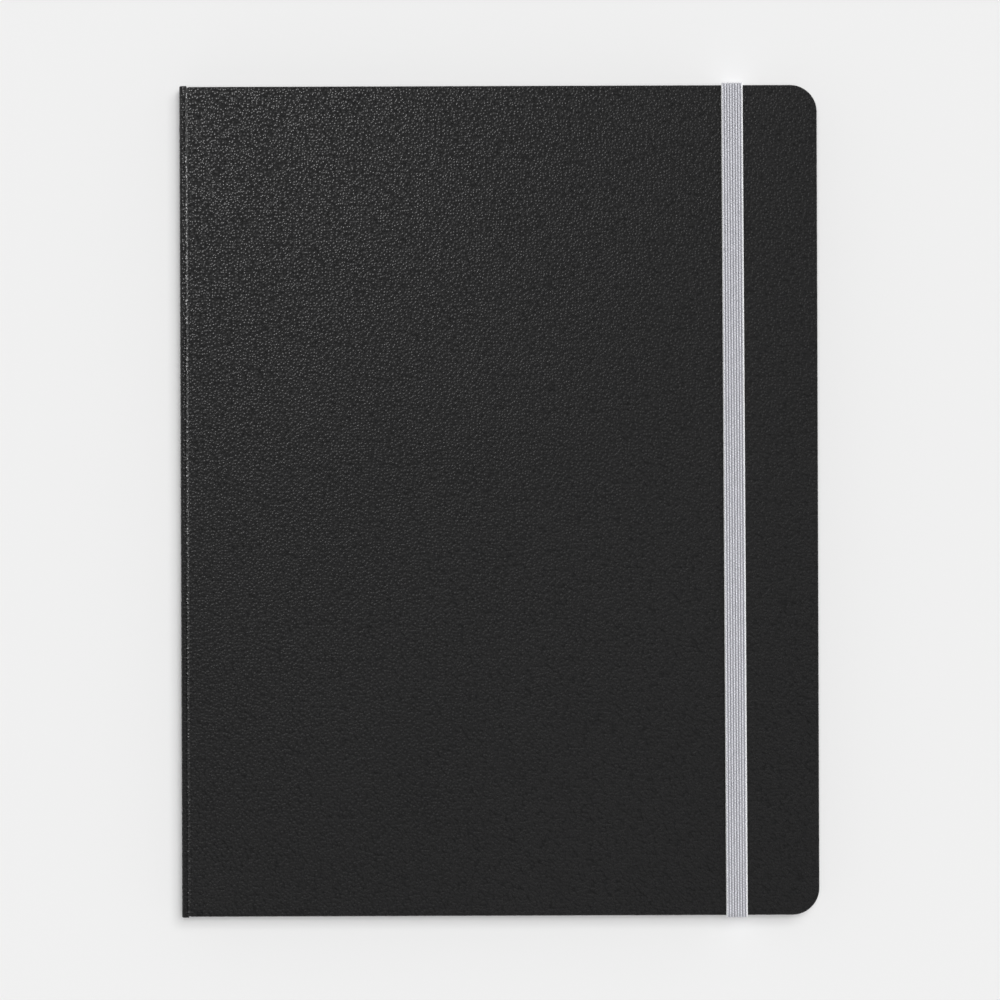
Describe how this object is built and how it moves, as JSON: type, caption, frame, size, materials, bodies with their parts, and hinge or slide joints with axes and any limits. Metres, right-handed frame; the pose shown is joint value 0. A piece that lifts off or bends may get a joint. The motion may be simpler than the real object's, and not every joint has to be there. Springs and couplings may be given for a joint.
{
  "type": "hardcover sketchbook",
  "caption": "Hardcover sketchbook in black leatherette with sewn page sections, hinged covers that open flat and a grey elastic closing strap round the foredge side.",
  "frame": {"origin": "middle of the back cover's outer face, which the closed book rests on", "axes": "+X from the spine to the foredge, +Y from the tail to the head, +Z from the back cover to the front cover"},
  "size_m": [0.1906, 0.2496, 0.0193],
  "materials": {
    "leatherette": "black pebble-grain leatherette, satin",
    "board": "grey-brown pressed bookbinder board",
    "endpaper": "heavy uncoated ivory endpaper",
    "sketch_paper": "uncoated off-white drawing paper",
    "kraft_paper": "brown kraft paper",
    "mull": "open-weave starched cotton",
    "thread": "waxed linen thread",
    "elastic": "pale grey ribbed knitted elastic"
  },
  "bodies": {
    "back_cover": {"back_board": "board", "back_cover_skin": "leatherette", "back_pastedown": "endpaper", "back_flyleaf": "endpaper", "signature_07": "sketch_paper", "signature_08": "sketch_paper", "signature_09": "sketch_paper", "signature_10": "sketch_paper", "signature_11": "sketch_paper", "signature_12": "sketch_paper", "elastic_anchor_tabs": "elastic"},
    "spine": {"spine_skin": "leatherette", "spine_board": "board", "spine_lining": "kraft_paper", "spine_mull": "mull", "sewing_thread": "thread"},
    "upper_pages": {"front_flyleaf": "endpaper", "signature_01": "sketch_paper", "signature_02": "sketch_paper", "signature_03": "sketch_paper", "signature_04": "sketch_paper", "signature_05": "sketch_paper", "signature_06": "sketch_paper"},
    "front_cover": {"front_board": "board", "front_cover_skin": "leatherette", "front_pastedown": "endpaper"},
    "elastic": {"elastic_band": "elastic"}
  },
  "joints": [
    {"name": "middle_opening", "type": "hinge", "parent": "back_cover", "child": "spine", "pos_m": [-0.0954, 0, -0.00015], "axis": [0, 1, 0], "range_deg": [-90, 0]},
    {"name": "upper_pages_fold", "type": "hinge", "parent": "spine", "child": "upper_pages", "pos_m": [-0.0954, 0, 0.01863], "axis": [0, 1, 0], "range_deg": [-90, 0]},
    {"name": "front_cover_hinge", "type": "hinge", "parent": "upper_pages", "child": "front_cover", "pos_m": [-0.0933, 0, 0.01863], "axis": [0, -1, 0], "range_deg": [0, 180]},
    {"name": "elastic_release", "type": "slide", "parent": "back_cover", "child": "elastic", "axis": [0, 0, 1], "range_m": [-0.0197, 0], "deforming": ["elastic_band"]}
  ],
  "couplings": [
    {"joint": "upper_pages_fold", "follows": "middle_opening", "ratio": 1},
    {"joint": "elastic_release", "follows": "middle_opening", "m_per_rad": 0.01248}
  ]
}
